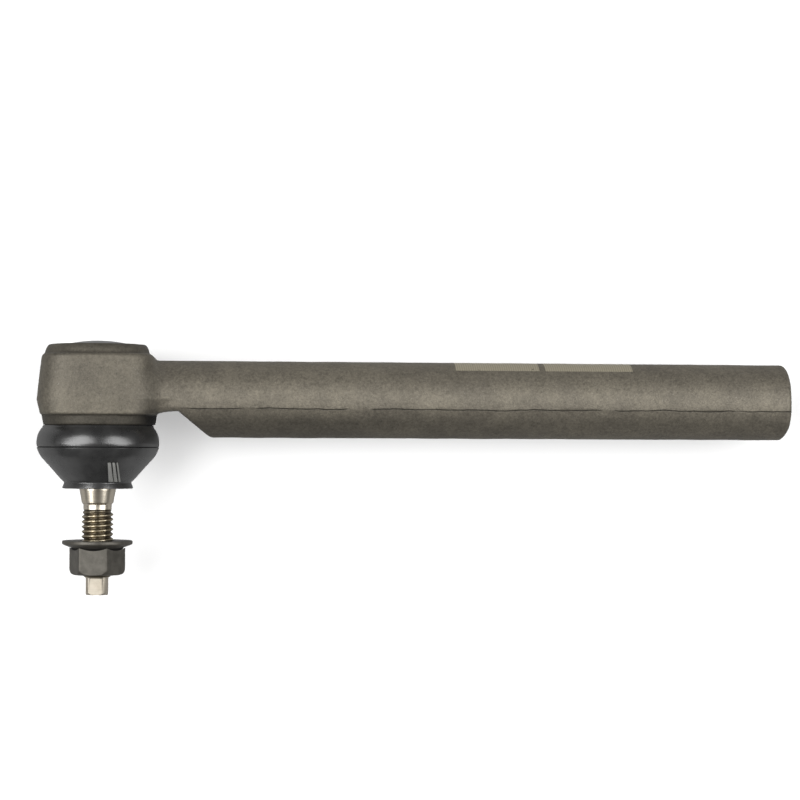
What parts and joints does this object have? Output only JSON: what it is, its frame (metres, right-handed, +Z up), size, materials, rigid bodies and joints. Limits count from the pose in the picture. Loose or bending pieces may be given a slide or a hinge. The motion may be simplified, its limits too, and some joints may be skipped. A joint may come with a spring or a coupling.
{
  "type": "tie rod end",
  "caption": "Forged steel tie rod end: long round shank with a threaded socket, ball housing, tapered ball stud in a rubber dust boot, and a flanged hexagon nut on the stud's thread.",
  "frame": {"origin": "centre of the shank's end face, at the mouth of the threaded socket", "axes": "+X out of the socket along the shank, +Z up along the stud's axis away from its threaded end, so the stud hangs towards -Z at the other end of the shank"},
  "size_m": [0.302, 0.0484, 0.1007],
  "materials": {
    "forged_steel": "as forged, dark olive-grey phosphate over fine scale",
    "cover_steel": "pressed sheet steel, satin grey",
    "spring_steel": "oiled spring steel",
    "bearing_steel": "sintered, oil filled",
    "liner_polymer": "natural acetal, smooth",
    "stud_steel": "ground and rolled bright steel, oiled",
    "boot_rubber": "moulded black rubber, satin",
    "nut_phosphate": "dark grey phosphate and oil"
  },
  "bodies": {
    "housing": {"forged_body": "forged_steel", "cover_plate": "cover_steel", "cover_seal": "boot_rubber", "disc_spring": "spring_steel", "pressure_cup": "bearing_steel", "bearing_seat": "bearing_steel", "dust_boot": "boot_rubber", "boot_rim_ring": "spring_steel"},
    "liner": {"ball_liner": "liner_polymer"},
    "boot_lip": {"boot_lip_ring": "spring_steel"},
    "stud": {"ball_stud": "stud_steel"},
    "washer": {"nut_washer": "nut_phosphate"},
    "nut": {"hex_nut": "nut_phosphate"}
  },
  "joints": [
    {"name": "stud_swing_side", "type": "hinge", "parent": "housing", "child": "liner", "pos_m": [-0.2778, 0, 0.002], "axis": [0, 1, 0], "range_deg": [-18, 18], "deforming": ["dust_boot"]},
    {"name": "stud_swing_fore_aft", "type": "hinge", "parent": "liner", "child": "boot_lip", "pos_m": [-0.2778, 0, 0.002], "axis": [1, 0, 0], "range_deg": [-18, 18], "deforming": ["dust_boot"]},
    {"name": "stud_spin", "type": "hinge", "parent": "boot_lip", "child": "stud", "pos_m": [-0.2778, 0, 0.002], "axis": [0, 0, 1], "continuous": true},
    {"name": "nut_travel", "type": "slide", "parent": "stud", "child": "washer", "axis": [0, 0, 1], "range_m": [-0.0152, 0.0123]},
    {"name": "nut_spin", "type": "hinge", "parent": "washer", "child": "nut", "pos_m": [-0.2778, 0, -0.065], "axis": [0, 0, 1], "range_deg": [-2820, 2290]}
  ],
  "couplings": [
    {"joint": "nut_spin", "follows": "nut_travel", "rad_per_m": 3215.8}
  ]
}
